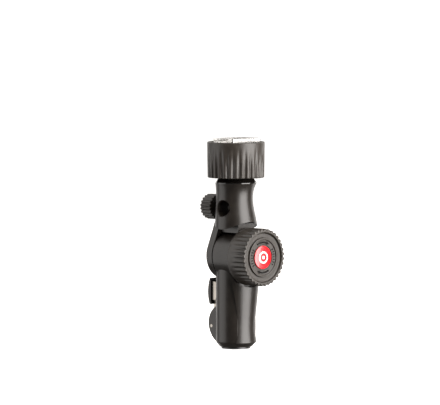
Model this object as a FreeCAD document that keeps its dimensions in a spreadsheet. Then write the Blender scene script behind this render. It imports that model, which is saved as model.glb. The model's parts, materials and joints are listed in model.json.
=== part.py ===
"""Umbrella swivel bracket: a tilting head with a flash shoe, on a push-on stand socket.

Frame: origin at the centre of the stand socket's mouth, +Z up along the socket, the tilt axis along X
with the locking knob on +X, and the umbrella bore along Y. All lengths are in millimetres.
"""
import FreeCAD, Part
import math
import os

import Sketcher
from FreeCAD import Placement, Rotation, Vector

doc = FreeCAD.newDocument("SwivelBracket")

# Driving dimensions: alias, value, what it is.
DRIVING = [
    ("pivot_height", 70.1, "tilt axis above the socket mouth"),
    ("base_radius", 15.0, "straight part of the lower body"),
    ("foot_radius", 12.2, "bottom face of the lower body"),
    ("foot_bottom", 1.4, "bottom face above the socket mouth"),
    ("foot_rise", 3.8, "height of the bevelled lower edge"),
    ("shoulder_radius", 17.4, "widest round of the grip cover"),
    ("merge_drop", 4.6, "top of the lower body below the tilt axis"),
    ("horn_drop", 15.9, "top of the lower body beside the ear, below the tilt axis"),
    ("barrel_radius", 18.0, "tilt barrel of the lower body"),
    ("barrel_left", 7.4, "barrel face towards the ear, from the axis"),
    ("barrel_right", 12.0, "barrel face towards the knob, from the axis"),
    ("barrel_round", 0.9, "fillet on the barrel's rims"),
    ("ledge_radius", 23.3, "saddle that clears the tilt knob"),
    ("saddle_clearance", 0.4, "ear to saddle"),
    ("core_radius", 12.4, "inner core that the grip cover wraps"),
    ("seam_offset", 11.6, "furthest reach of the cover's seam from the axis"),
    ("seam_peak_height", 20.0, "height of that point"),
    ("seam_bow", 300.0, "radius of the bowed seam"),
    ("seam_gap", 0.15, "visible gap along the seam"),
    ("cover_bottom", 3.2, "lower end of the grip cover"),
    ("cover_foot_radius", 15.7, "cover radius above the bevel"),
    ("cover_waist_bow", 72.4, "radius of the waist's curve"),
    ("cover_straight_height", 24.2, "where the waist's curve ends"),
    ("cover_straight_radius", 15.1, "cover radius there"),
    ("socket_radius", 8.1, "bore for a 16 mm stand spigot"),
    ("socket_depth", 38.0, "depth of that bore"),
    ("sleeve_wall", 1.6, "wall of the metal sleeve"),
    ("sleeve_floor", 1.5, "end wall of the metal sleeve"),
    ("sleeve_rim_radius", 10.9, "flange at the sleeve's mouth"),
    ("boss_half", 6.0, "half width of the lever boss"),
    ("boss_reach", 24.5, "outer face of the lever boss from the axis"),
    ("boss_mid_height", 18.6, "height of that point"),
    ("boss_top_height", 32.0, "upper end of the boss"),
    ("boss_foot_height", 3.2, "lower end of the boss"),
    ("boss_root", 14.4, "where the boss's outline meets the body"),
    ("boss_round", 1.6, "fillet round the boss"),
    ("lever_pin_reach", 20.5, "lever pin from the axis"),
    ("lever_pin_height", 16.0, "lever pin above the mouth"),
    ("lever_pin_radius", 1.2, "lever pin"),
    ("running_gap", 0.05, "radial clearance of a turning fit"),
    ("press_gap", 0.02, "gap of a pressed piece"),
    ("seat_gap", 0.1, "gap of a seated piece"),
    ("free_gap", 0.3, "gap of a hole or slot that guides nothing"),
    ("overrun", 8.0, "how far a cut runs out beyond the body"),
    ("lever_eye", 2.2, "eye of the lever round its pin"),
    ("lever_thickness", 3.0, "lever's arm"),
    ("lever_slot_half", 3.8, "half width of the slot inside the boss"),
    ("lever_slot_reach", 21.9, "outer wall of that slot from the axis"),
    ("lever_slot_floor", 10.4, "inner wall of the slot and the pocket"),
    ("pocket_half", 7.0, "half width of the lever pocket"),
    ("pocket_bottom", 34.4, "lower end of the lever pocket"),
    ("lever_half", 3.3, "half width of the lever inside the boss"),
    ("paddle_half", 4.6, "half width of the lever's paddle"),
    ("paddle_bottom", 35.7, "lower end of the paddle"),
    ("paddle_top", 49.5, "upper end of the paddle"),
    ("paddle_inner", 16.3, "inner face of the paddle"),
    ("paddle_outer", 21.2, "outer face of the paddle"),
    ("pad_half", 6.0, "half width of the thumb pad"),
    ("pad_bottom", 32.4, "lower end of the thumb pad"),
    ("pad_top", 52.3, "upper end of the thumb pad"),
    ("pad_outer", 23.4, "outer face of the thumb pad at its ends"),
    ("pad_bow", 26.0, "radius of the thumb pad's face"),
    ("pad_round", 1.0, "fillet round the thumb pad"),
    ("pad_lip", 0.6, "lip of the thumb pad under the paddle"),
    ("shoe_height", 8.8, "middle of the latch shoe"),
    ("latch_half_height", 2.2, "half height of the latch shoe"),
    ("latch_half_width", 3.1, "half width of the latch shoe"),
    ("latch_drop", 4.8, "way of the latch shoe, down from its middle"),
    ("shoe_outer", 10.9, "outer face of the latch shoe from the axis"),
    ("shoe_inset", 0.2, "inner face of the latch shoe behind the socket's wall"),
    ("ear_left", 14.7, "outer face of the ear from the axis"),
    ("ear_right", 7.8, "inner face of the ear from the axis"),
    ("ear_radius", 17.9, "round end of the ear"),
    ("ear_top_half", 7.2, "half width of the ear at its top"),
    ("ear_round", 1.6, "fillet on the ear's outer rim"),
    ("underside_radius", 26.0, "column's underside about the tilt axis"),
    ("root_half", 8.5, "half width of the block under the column"),
    ("root_right", 11.4, "that block's face towards the knob, from the axis"),
    ("column_radius", 15.6, "round of the upper body"),
    ("lip_radius", 15.8, "round at the column's lower lip"),
    ("waist_radius", 14.8, "narrowest round of the column"),
    ("waist_shift", 0.86, "the waist's centre, towards the thumb screw"),
    ("umbrella_radius", 6.0, "umbrella bore, for an 8 to 11 mm shaft"),
    ("umbrella_bevel", 0.5, "bevel at each mouth of the umbrella bore"),
    ("collar_top_radius", 13.7, "round of the neck collar's top"),
    ("collar_step", 0.15, "collar inside the column's round"),
    ("stem_radius", 9.5, "threaded stem of the shoe"),
    ("stem_bolt_radius", 3.0, "bolt that holds the stem"),
    ("stem_bolt_head", 5.0, "head radius of that bolt"),
    ("stem_bolt_sink", 3.4, "seat of that bolt's head below the stem's top"),
    ("ring_low_radius", 21.4, "lock ring radius at its lower edge"),
    ("ring_high_radius", 21.8, "lock ring radius at its upper edge"),
    ("ring_wall", 2.1, "lock ring's skirt"),
    ("ring_hub_radius", 15.2, "lock ring's hub"),
    ("ring_nut_radius", 12.6, "threaded insert of the lock ring"),
    ("ring_edge", 1.5, "rounded edges of the lock ring"),
    ("ring_flutes", 29.0, "flutes round the lock ring"),
    ("ring_flute_radius", 1.9, "round cutter of a ring flute"),
    ("ring_flute_depth", 0.95, "depth of a ring flute at its mouth"),
    ("ring_flute_length", 22.5, "height of a ring flute"),
    ("ring_flute_taper", 2.2, "lean of a ring flute's wall, in degrees"),
    ("plate_radius", 19.2, "clamp plate under the shoe"),
    ("plate_thickness", 1.15, "clamp plate"),
    ("plate_gap", 0.05, "clamp plate above the web"),
    ("tab_near", 10.6, "clamp tab's near edge from the axis"),
    ("tab_far", 13.2, "clamp tab's far edge from the axis"),
    ("tab_half", 5.6, "half width of a clamp tab"),
    ("window_margin", 0.35, "gap round a clamp tab in the channel's floor"),
    ("channel_half", 11.0, "half width of the shoe channel"),
    ("channel_front", 14.0, "front end of the channel from the axis"),
    ("channel_back", 16.0, "back end of the channel from the axis"),
    ("channel_corner", 1.5, "rounded corners of the channel"),
    ("slot_half", 9.35, "half width of the foot slot, for an 18.6 mm foot"),
    ("throat_half", 6.3, "half width between the lips"),
    ("stop_wall", 1.6, "closed back end of the slot"),
    ("shoe_screw_radius", 1.25, "screws that hold the channel"),
    ("shoe_screw_offset", 7.3, "those screws from the axis"),
    ("shoe_screw_head", 2.2, "head radius of those screws"),
    ("shoe_screw_length", 7.0, "length of those screws"),
    ("shoe_screw_sink", 0.7, "seat of those heads below the slot's floor"),
    ("bolt_radius", 4.0, "tilt bolt, M8"),
    ("bolt_flats", 13.0, "hexagon of the tilt bolt and its nut"),
    ("bolt_head_outer", 13.7, "outer face of the bolt head from the axis"),
    ("bolt_head_inner", 10.7, "inner face of the bolt head from the axis"),
    ("bolt_end", 25.2, "end of the tilt bolt from the axis"),
    ("bolt_room", 0.8, "room beyond the bolt's end"),
    ("cap_radius", 8.4, "cap over the bolt head"),
    ("disc_radius", 13.0, "friction disc"),
    ("disc_left", 8.9, "friction disc's seat in the ear"),
    ("disc_right", 7.5, "friction disc's rubbing face"),
    ("bush_radius", 6.0, "bush in the barrel"),
    ("bush_inset", 0.2, "bush below the barrel's faces"),
    ("washer_left", 12.1, "thrust washer's inner face from the axis"),
    ("washer_right", 13.3, "thrust washer's outer face from the axis"),
    ("washer_radius", 8.5, "thrust washer"),
    ("knob_back", 12.35, "knob's back edge from the axis"),
    ("knob_front", 30.5, "knob's front edge from the axis"),
    ("knob_radius", 21.7, "tilt knob"),
    ("knob_band", 2.6, "smooth band at the knob's back"),
    ("knob_edge", 0.8, "rounded edges of the knob"),
    ("knob_wall", 2.1, "knob's skirt"),
    ("knob_rim_inner", 18.6, "inner edge of the knob's toothed rim"),
    ("knob_shelf", 29.3, "recessed ring on the knob's face"),
    ("knob_seat", 27.6, "seat of the face plate"),
    ("knob_web", 25.4, "inner face of the knob's web"),
    ("knob_hub_radius", 9.2, "knob's hub"),
    ("knob_flutes", 36.0, "flutes round the knob"),
    ("knob_flute_radius", 1.85, "round cutter of a knob flute"),
    ("knob_flute_depth", 1.25, "depth of a knob flute at the front edge"),
    ("knob_flute_taper", 4.2, "lean of a knob flute's wall, in degrees"),
    ("nut_end", 23.0, "outer face of the knob's nut"),
    ("face_radius", 14.75, "face plate"),
    ("bezel_inner", 13.2, "inner edge of the raised bezel"),
    ("bezel_top", 30.0, "top of the bezel"),
    ("dial_top", 29.0, "dial ring between bezel and badge"),
    ("badge_groove", 9.8, "inner edge of the dial ring"),
    ("badge_radius", 8.8, "badge"),
    ("badge_seat", 28.4, "seat of the badge"),
    ("badge_edge_top", 29.4, "badge height at its rim"),
    ("badge_bow", 90.0, "radius of the badge's dome"),
    ("thumb_radius", 9.65, "thumb screw head over its teeth"),
    ("thumb_outer", 29.5, "outer face of the thumb screw head from the axis"),
    ("thumb_inner", 18.6, "inner face of the thumb screw head from the axis"),
    ("thumb_teeth", 20.0, "teeth round the thumb screw head"),
    ("thumb_flute_radius", 1.1, "round cutter between the teeth"),
    ("thumb_flute_depth", 0.9, "depth between the teeth"),
    ("thumb_dish_radius", 7.2, "dish in the head's faces"),
    ("thumb_dish", 1.3, "depth of the dish"),
    ("thumb_edge", 0.7, "bevel of the head"),
    ("stud_radius", 2.5, "thumb screw's thread, M5"),
    ("stud_seat", 8.4, "depth of the stud in the head"),
    ("stud_tip", 8.0, "end of the stud from the axis"),
    ("tip_radius", 2.35, "pressure tip"),
    ("tip_inset", 0.15, "pressure tip behind the bore's wall"),
    ("insert_radius", 4.0, "threaded insert of the thumb screw"),
    ("insert_outer", 15.0, "outer end of that insert from the axis"),
    ("insert_inner", 8.4, "inner end of that insert from the axis"),
    ("spring_height", 26.0, "lever spring above the mouth"),
    ("spring_coil", 2.3, "lever spring's coil"),
    ("spring_wire", 0.3, "lever spring's wire"),
    ("spring_turns", 4.0, "turns of the lever spring"),
]

# Heights that follow the tilt axis: alias, rise above the axis, what it is.
RISES = [
    ("shoulder_height_rise", -20.1, "where the widening ends"),
    ("ear_top_height_rise", 29.5, "top of the ear inside the column"),
    ("column_bottom_rise", 13.9, "lower end of the column before its underside is cut"),
    ("lip_height_rise", 24.9, "height where the lip starts to narrow"),
    ("waist_height_rise", 32.9, "height of the waist"),
    ("column_top_rise", 54.9, "top of the column"),
    ("umbrella_height_rise", 36.1, "axis of the umbrella bore"),
    ("collar_top_rise", 58.6, "top of the neck collar"),
    ("stem_bottom_rise", 45.9, "stem's foot inside the column"),
    ("stem_top_rise", 84.5, "stem's top, under the shoe channel"),
    ("stem_bolt_bottom_rise", 42.9, "tip of that bolt"),
    ("ring_bottom_rise", 59.0, "lower edge of the lock ring"),
    ("ring_top_rise", 86.2, "upper edge of the lock ring"),
    ("ring_web_bottom_rise", 79.1, "underside of the lock ring's web"),
    ("ring_web_top_rise", 82.2, "top of the lock ring's web"),
    ("ring_hub_bottom_rise", 70.2, "lower end of the hub"),
    ("channel_top_rise", 88.7, "top of the channel's lips"),
    ("slot_floor_rise", 85.6, "floor of the foot slot"),
    ("slot_roof_rise", 87.7, "underside of the lips"),
]


class Size:
    """A number together with the sheet formula that it comes from."""

    def __init__(self, value, formula):
        self.value = value
        self.formula = formula

    def __add__(self, other):
        other = as_size(other)
        return Size(self.value + other.value, f"({self.formula} + {other.formula})")

    def __sub__(self, other):
        other = as_size(other)
        return Size(self.value - other.value, f"({self.formula} - {other.formula})")

    def __mul__(self, other):
        other = as_size(other)
        return Size(self.value * other.value, f"({self.formula} * {other.formula})")

    def __truediv__(self, other):
        other = as_size(other)
        return Size(self.value / other.value, f"({self.formula} / {other.formula})")

    def __neg__(self):
        return Size(-self.value, f"(0 - {self.formula})")


def as_size(number):
    if isinstance(number, Size):
        return number
    return Size(float(number), str(number))


class Sizes:
    """The driving sheet, read by alias. Each rise also gives a height of the same name."""

    def __init__(self, rows, rises):
        sheet = doc.addObject("Spreadsheet::Sheet", "Sizes")
        for row, (alias, value, meaning) in enumerate(rows + rises, start=1):
            sheet.set(f"A{row}", meaning)
            sheet.set(f"B{row}", str(value))
            sheet.setAlias(f"B{row}", alias)
            setattr(self, alias, Size(value, f"Sizes.{alias}"))
        for alias, _, _ in rises:
            setattr(self, alias.removesuffix("_rise"), self.pivot_height + getattr(self, alias))


mm = Sizes(DRIVING, RISES)
doc.recompute()


def bind(item, path, length):
    """Ties one property of an object to its sheet formula."""
    item.setExpression(path, as_size(length).formula)


def new_body(name, x=0, z=0):
    body = doc.addObject("PartDesign::Body", name)
    body.Label = name
    body.Placement = Placement(Vector(as_size(x).value, 0, as_size(z).value), Rotation())
    bind(body, ".Placement.Base.x", x)
    bind(body, ".Placement.Base.z", z)
    return body


def new_sketch(body, plane, offset=0):
    """An empty sketch on one of the body's origin planes, moved along the plane's normal."""
    sketch = body.newObject("Sketcher::SketchObject", body.Name + "_sketch")
    support = [item for item in body.Origin.OriginFeatures if item.Role == plane + "_Plane"][0]
    sketch.AttachmentSupport = [(support, "")]
    sketch.MapMode = "FlatFace"
    sketch.AttachmentOffset = Placement(Vector(0, 0, as_size(offset).value), Rotation())
    bind(sketch, ".AttachmentOffset.Base.z", offset)
    return sketch


def pin_point(sketch, edge, end, across, up):
    """Dimensions one end of an edge from the sketch's origin."""
    for kind, length in (("DistanceX", as_size(across)), ("DistanceY", as_size(up))):
        number = sketch.addConstraint(Sketcher.Constraint(kind, -1, 1, edge, end, length.value))
        bind(sketch, f"Constraints[{number}]", length)


def circle(sketch, across, up, radius):
    centre = Vector(as_size(across).value, as_size(up).value, 0)
    edge = sketch.addGeometry(Part.Circle(centre, Vector(0, 0, 1), as_size(radius).value), False)
    pin_point(sketch, edge, 3, across, up)
    number = sketch.addConstraint(Sketcher.Constraint("Radius", edge, as_size(radius).value))
    bind(sketch, f"Constraints[{number}]", radius)


def arc_between(start, end, radius, turn):
    """The short arc from start to end; turn is 1 when it bends left on the way, -1 when right."""
    chord = end.sub(start)
    half = chord.Length / 2
    height = math.sqrt(max(radius * radius - half * half, 0.0))
    side = Vector(-chord.y, chord.x, 0).normalize() * (turn * height)
    centre = (start + end) * 0.5 + side
    first, last = (start, end) if turn > 0 else (end, start)
    begin = math.atan2(first.y - centre.y, first.x - centre.x)
    finish = math.atan2(last.y - centre.y, last.x - centre.x)
    if finish < begin:
        finish += 2 * math.pi
    return Part.ArcOfCircle(Part.Circle(centre, Vector(0, 0, 1), radius), begin, finish)


def outline(sketch, corners):
    """A closed outline. A corner is (across, up), or (across, up, radius, turn) where an arc follows it."""
    points = [Vector(as_size(corner[0]).value, as_size(corner[1]).value, 0) for corner in corners]
    ends = []
    for index, corner in enumerate(corners):
        start = points[index]
        end = points[(index + 1) % len(points)]
        if len(corner) == 4:
            radius = as_size(corner[2])
            edge = sketch.addGeometry(arc_between(start, end, radius.value, corner[3]), False)
            number = sketch.addConstraint(Sketcher.Constraint("Radius", edge, radius.value))
            bind(sketch, f"Constraints[{number}]", radius)
            ends.append((edge, 1, 2) if corner[3] > 0 else (edge, 2, 1))
        else:
            edge = sketch.addGeometry(Part.LineSegment(start, end), False)
            ends.append((edge, 1, 2))
    for index, corner in enumerate(corners):
        edge, start_end, _ = ends[index]
        before, _, finish_end = ends[index - 1]
        sketch.addConstraint(Sketcher.Constraint("Coincident", before, finish_end, edge, start_end))
        pin_point(sketch, edge, start_end, corner[0], corner[1])


def rectangle(sketch, left, bottom, right, top):
    outline(sketch, [(left, bottom), (right, bottom), (right, top), (left, top)])


def hexagon(sketch, across, up, flats):
    """A regular hexagon of the given width over its flats, with two corners up and down."""
    radius = as_size(flats) / math.sqrt(3)
    corners = []
    for index in range(6):
        angle = math.radians(60 * index + 30)
        corners.append((as_size(across) + radius * round(math.cos(angle), 9),
                        as_size(up) + radius * round(math.sin(angle), 9)))
    outline(sketch, corners)


def fit_check(feature, grows=None):
    """Stops the build when a feature fails, or adds or cuts nothing; grows None takes either."""
    doc.recompute()
    if "Invalid" in feature.State or "Error" in feature.State or feature.Shape.isNull():
        raise ValueError(f"{feature.Label}: {feature.State}")
    if not feature.Shape.isValid():
        raise ValueError(f"{feature.Label} is not a valid solid")
    base = feature.BaseFeature
    if base is None:
        return
    change = feature.Shape.Volume - base.Shape.Volume
    wrong_way = grows is not None and grows != (change > 0)
    if change == 0 or wrong_way:
        raise ValueError(f"{feature.Label} changes the volume by {change:.3f}")


def revolve(body, corners, axis="V_Axis"):
    """Turns an outline in the XZ plane about Z (V_Axis, corners are radius and height) or X (H_Axis)."""
    sketch = new_sketch(body, "XZ")
    outline(sketch, corners)
    feature = body.newObject("PartDesign::Revolution", body.Name + "_turned")
    feature.Profile = sketch
    feature.ReferenceAxis = (sketch, [axis])
    feature.Angle = 360
    fit_check(feature, True)
    return feature


def pad(body, sketch, length, along=1, symmetric=False):
    feature = body.newObject("PartDesign::Pad", body.Name + "_pad")
    feature.Profile = sketch
    feature.Length = as_size(length).value
    bind(feature, "Length", length)
    feature.Reversed = along < 0
    if symmetric:
        feature.SideType = "Symmetric"
    fit_check(feature, True)
    return feature


def pocket(body, sketch, length=None, along=1, symmetric=False, taper=None):
    """Cuts along the sketch's normal (along 1) or against it (along -1); no length means right through."""
    feature = body.newObject("PartDesign::Pocket", body.Name + "_pocket")
    feature.Profile = sketch
    if length is None:
        feature.Type = "ThroughAll"
    else:
        feature.Length = as_size(length).value
        bind(feature, "Length", length)
    feature.Reversed = along > 0
    if symmetric:
        feature.SideType = "Symmetric"
    if taper is not None:
        feature.TaperAngle = taper.value
        bind(feature, "TaperAngle", taper)
    fit_check(feature, False)
    return feature


def round_pattern(body, feature, sketch, count):
    """Repeats a feature about the normal through its sketch's origin."""
    pattern = body.newObject("PartDesign::PolarPattern", body.Name + "_pattern")
    pattern.Originals = [feature]
    pattern.Axis = (sketch, ["N_Axis"])
    pattern.Angle = 360
    pattern.Occurrences = int(round(count.value))
    bind(pattern, "Occurrences", count)
    body.Tip = pattern
    fit_check(pattern, False)
    return pattern


def soften(body, radius, wanted, kind="Fillet"):
    """Fillets or chamfers the edges of the tip that the test picks."""
    base = body.Tip
    names = [f"Edge{number}" for number, edge in enumerate(base.Shape.Edges, start=1) if wanted(edge)]
    if not names:
        raise ValueError(f"{body.Label}: no edge to soften")
    feature = body.newObject(f"PartDesign::{kind}", f"{body.Name}_{kind.lower()}")
    feature.Base = (base, names)
    path = "Radius" if kind == "Fillet" else "Size"
    setattr(feature, path, as_size(radius).value)
    bind(feature, path, radius)
    fit_check(feature)
    return feature


def join(body, other):
    """Fuses another body into this one."""
    feature = body.newObject("PartDesign::Boolean", body.Name + "_join")
    feature.Type = "Fuse"
    feature.setObjects([other])
    fit_check(feature, True)
    return feature


def on_cylinder_rim(edge, radius, x=None):
    """True for a circular edge of that radius about X, at that X where one is given."""
    curve = edge.Curve
    if not isinstance(curve, Part.Circle) or abs(curve.Radius - radius) > 1e-3:
        return False
    if abs(abs(curve.Axis.x) - 1) > 1e-6:
        return False
    return x is None or abs(curve.Center.x - x) < 1e-3


def tube(name, inner, outer, low, high, axis="V_Axis", z=0):
    """A plain sleeve; about Z its ends are heights, about X they are distances along X."""
    body = new_body(name, z=z)
    if axis == "V_Axis":
        corners = [(inner, low), (outer, low), (outer, high), (inner, high)]
    else:
        corners = [(low, inner), (low, outer), (high, outer), (high, inner)]
    revolve(body, corners, axis)
    return body


# ---- lower half: what stays with the stand --------------------------------------------------------

def seam_reach(gap, height):
    """How far the bowed seam, moved outwards by gap, stands from the axis: a circle's sagitta."""
    radius = mm.seam_bow
    rise = as_size(height) - mm.seam_peak_height
    depth = math.sqrt(radius.value ** 2 - rise.value ** 2)
    formula = f"sqrt({radius.formula} * {radius.formula} - {rise.formula} * {rise.formula})"
    return mm.seam_offset + gap - radius + Size(depth, formula)


def saddle(body, radius, low_x, high_x):
    """Cuts a round about the tilt axis, from one X to another."""
    sketch = new_sketch(body, "YZ", low_x)
    circle(sketch, 0, mm.pivot_height, radius)
    pocket(body, sketch, as_size(high_x) - low_x)


def lower_housing():
    body = new_body("lower_housing")
    merge = mm.pivot_height - mm.merge_drop
    outer = mm.base_radius
    far = mm.shoulder_radius + mm.overrun
    revolve(body, [
        (0, mm.foot_bottom),
        (mm.foot_radius, mm.foot_bottom),
        (outer - 0.4, mm.foot_bottom + mm.foot_rise - 1.0),
        (outer, mm.foot_bottom + mm.foot_rise),
        (outer, merge),
        (0, merge),
    ])
    # seat of the grip cover, with the core put back inside it
    sketch = new_sketch(body, "XZ")
    low, high = mm.cover_bottom, merge + 1
    outline(sketch, [
        (seam_reach(0, low), low),
        (far, low),
        (far, high),
        (seam_reach(0, high), high, mm.seam_bow, -1),
    ])
    pocket(body, sketch, far * 2, symmetric=True)
    sketch = new_sketch(body, "XY", mm.cover_bottom - 0.5)
    circle(sketch, 0, 0, mm.core_radius)
    pad(body, sketch, mm.shoulder_height + 2 - mm.cover_bottom)
    # barrel of the tilt joint
    sketch = new_sketch(body, "YZ", -mm.barrel_left)
    circle(sketch, 0, mm.pivot_height, mm.barrel_radius)
    pad(body, sketch, mm.barrel_left + mm.barrel_right)
    # saddles for the ear and for the knob
    saddle(body, mm.ear_radius + mm.saddle_clearance, -far, -mm.barrel_left)
    saddle(body, mm.ledge_radius, mm.barrel_right, far)
    # shoulders beside the ear, lowered so that the head tilts past them
    sketch = new_sketch(body, "XZ")
    rectangle(sketch, -far, mm.pivot_height - mm.horn_drop, -mm.barrel_left, mm.pivot_height)
    pocket(body, sketch, far * 2, symmetric=True)
    soften(body, mm.barrel_round, lambda edge: on_cylinder_rim(edge, mm.barrel_radius.value))
    join(body, lever_boss())
    # pocket behind the thumb pad, and the slot through the boss
    sketch = new_sketch(body, "XZ")
    rectangle(sketch, -far, mm.pocket_bottom, -mm.lever_slot_floor, mm.pivot_height)
    pocket(body, sketch, mm.pocket_half * 2, symmetric=True)
    sketch = new_sketch(body, "XZ")
    outline(sketch, [
        (-mm.lever_slot_reach, mm.pocket_bottom + 1),
        (-mm.lever_slot_reach, mm.lever_pin_height - 3),
        (-mm.lever_slot_reach + 2.4, mm.shoe_height),
        (-mm.lever_slot_reach + 5.4, mm.shoe_height - 3.2),
        (-mm.lever_slot_floor + 0.4, mm.shoe_height - 4.6),
        (-mm.lever_slot_floor + 0.4, mm.pocket_bottom + 1),
    ])
    pocket(body, sketch, mm.lever_slot_half * 2, symmetric=True)
    sketch = new_sketch(body, "XZ")
    circle(sketch, -mm.lever_pin_reach, mm.lever_pin_height, mm.lever_eye + mm.free_gap)
    pocket(body, sketch, mm.lever_slot_half * 2, symmetric=True)
    # way in to the socket for the latch shoe
    sketch = new_sketch(body, "XZ")
    rectangle(sketch, -mm.lever_slot_floor, mm.shoe_height - mm.latch_drop, -mm.socket_radius,
              mm.shoe_height + mm.latch_half_height + mm.free_gap)
    pocket(body, sketch, (mm.latch_half_width + mm.free_gap) * 2, symmetric=True)
    # sleeve seat, bush seat and the lever pin's hole
    sketch = new_sketch(body, "XY")
    circle(sketch, 0, 0, mm.socket_radius + mm.sleeve_wall)
    pocket(body, sketch, mm.socket_depth + mm.sleeve_floor)
    sketch = new_sketch(body, "YZ")
    circle(sketch, 0, mm.pivot_height, mm.bush_radius)
    pocket(body, sketch, symmetric=True)
    sketch = new_sketch(body, "XZ")
    circle(sketch, -mm.lever_pin_reach, mm.lever_pin_height, mm.lever_pin_radius)
    pocket(body, sketch, symmetric=True)
    return body


def upright_bow(bulge, rise):
    """Radius of an arc that starts upright and leans in by bulge over rise."""
    return (bulge * bulge + rise * rise) / (bulge * 2)


def lever_boss():
    """The boss that carries the release lever: two bowed flanks with a rounded rim."""
    body = new_body("lever_boss")
    sketch = new_sketch(body, "XZ")
    root = mm.boss_root
    bulge = mm.boss_reach - root
    upper, lower = (upright_bow(bulge, rise) for rise in (
        mm.boss_top_height - mm.boss_mid_height, mm.boss_mid_height - mm.boss_foot_height))
    outline(sketch, [
        (-root, mm.boss_top_height, upper, 1),
        (-mm.boss_reach, mm.boss_mid_height, lower, 1),
        (-root, mm.boss_foot_height),
        (-mm.core_radius, mm.boss_foot_height + 1),
        (-mm.core_radius, mm.boss_top_height - 1),
    ])
    pad(body, sketch, mm.boss_half * 2, symmetric=True)

    def wanted(edge):
        return isinstance(edge.Curve, Part.Circle) and edge.BoundBox.YLength < 1e-3

    soften(body, mm.boss_round, wanted)
    return body


def grip_cover():
    body = new_body("grip_cover")
    inner = mm.core_radius + mm.running_gap
    far = mm.shoulder_radius + mm.overrun
    top = mm.pivot_height - mm.merge_drop
    bevel = mm.foot_bottom + mm.foot_rise
    revolve(body, [
        (inner, mm.cover_bottom + mm.seam_gap),
        (mm.cover_foot_radius - 1.9, mm.cover_bottom + mm.seam_gap),
        (mm.cover_foot_radius, bevel - 0.4, mm.cover_waist_bow, -1),
        (mm.cover_straight_radius, mm.cover_straight_height),
        (mm.shoulder_radius, mm.shoulder_height),
        (mm.shoulder_radius, top),
        (inner, top),
    ])
    # only the stretch beyond the bowed seam is kept
    sketch = new_sketch(body, "XZ")
    low, high = mm.cover_bottom - 2, top + 2
    outline(sketch, [
        (-far, low),
        (seam_reach(mm.seam_gap, low), low, mm.seam_bow, 1),
        (seam_reach(mm.seam_gap, high), high),
        (-far, high),
    ])
    pocket(body, sketch, far * 2, symmetric=True)
    sketch = new_sketch(body, "YZ", 0)
    circle(sketch, 0, mm.pivot_height, mm.ledge_radius)
    pocket(body, sketch, far)
    return body


def socket_sleeve():
    body = new_body("socket_sleeve")
    outer = mm.socket_radius + mm.sleeve_wall
    top = mm.socket_depth + mm.sleeve_floor
    revolve(body, [
        (mm.socket_radius, 0),
        (mm.sleeve_rim_radius, 0),
        (mm.sleeve_rim_radius, mm.foot_bottom),
        (outer, mm.foot_bottom),
        (outer, top),
        (0, top),
        (0, mm.socket_depth),
        (mm.socket_radius, mm.socket_depth),
    ])
    sketch = new_sketch(body, "YZ", -outer - 2)
    half = mm.latch_half_width + mm.free_gap
    rectangle(sketch, -half, mm.shoe_height - mm.latch_drop, half,
              mm.shoe_height + mm.latch_half_height + mm.free_gap * 2)
    pocket(body, sketch, outer)
    return body


def lever_arm():
    body = new_body("lever_arm")
    pin_x = -mm.lever_pin_reach
    stem_outer = mm.lever_pin_reach
    stem_inner = mm.lever_pin_reach - mm.lever_thickness
    sketch = new_sketch(body, "XZ")
    circle(sketch, pin_x, mm.lever_pin_height, mm.lever_eye)
    pad(body, sketch, mm.lever_half * 2, symmetric=True)
    # upper arm, with the paddle that the pad sits on
    sketch = new_sketch(body, "XZ")
    rectangle(sketch, -stem_outer, mm.lever_pin_height, -stem_inner, mm.paddle_bottom + 1)
    pad(body, sketch, mm.lever_half * 2, symmetric=True)
    sketch = new_sketch(body, "XZ")
    outline(sketch, [
        (-mm.paddle_outer, mm.paddle_bottom),
        (-stem_inner, mm.paddle_bottom),
        (-mm.paddle_inner, mm.paddle_bottom + 2.2),
        (-mm.paddle_inner, mm.paddle_top - 1.5),
        (-mm.paddle_inner - 1.5, mm.paddle_top),
        (-mm.paddle_outer, mm.paddle_top),
    ])
    pad(body, sketch, mm.paddle_half * 2, symmetric=True)
    # lower arm down to the latch shoe
    sketch = new_sketch(body, "XZ")
    shoe_face = mm.shoe_outer
    outline(sketch, [
        (pin_x + 2.2, mm.lever_pin_height + 1.6),
        (-shoe_face, mm.shoe_height + mm.latch_half_height),
        (-shoe_face, mm.shoe_height - mm.latch_half_height),
        (pin_x, mm.lever_pin_height - mm.lever_eye),
    ])
    pad(body, sketch, mm.latch_half_width * 2, symmetric=True)
    sketch = new_sketch(body, "XZ")
    circle(sketch, pin_x, mm.lever_pin_height, mm.lever_pin_radius + mm.running_gap)
    pocket(body, sketch, symmetric=True)
    return body


def lever_pad():
    body = new_body("lever_pad")
    sketch = new_sketch(body, "XZ")
    outer = mm.pad_outer
    outline(sketch, [
        (-mm.paddle_outer, mm.paddle_top + 0.8),
        (-mm.paddle_outer - 0.9, mm.pad_top),
        (-outer + 0.6, mm.pad_top - 0.4, mm.pad_bow, 1),
        (-outer, mm.pad_bottom + 0.8),
        (-outer + 1.2, mm.pad_bottom),
        (-mm.paddle_outer + mm.pad_lip, mm.pad_bottom),
        (-mm.paddle_outer + mm.pad_lip, mm.pad_bottom + 1.2),
        (-mm.paddle_outer, mm.pad_bottom + 2.4),
    ])
    pad(body, sketch, mm.pad_half * 2, symmetric=True)

    def wanted(edge):
        return isinstance(edge.Curve, Part.Circle) and edge.BoundBox.YLength < 1e-3

    soften(body, mm.pad_round, wanted)
    return body


def latch_shoe():
    body = new_body("latch_shoe")
    inner = mm.socket_radius + mm.shoe_inset
    sketch = new_sketch(body, "XZ")
    rectangle(sketch, -mm.shoe_outer, mm.shoe_height - mm.latch_half_height, -inner,
              mm.shoe_height + mm.latch_half_height)
    pad(body, sketch, mm.latch_half_width * 2, symmetric=True)
    return body


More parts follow.
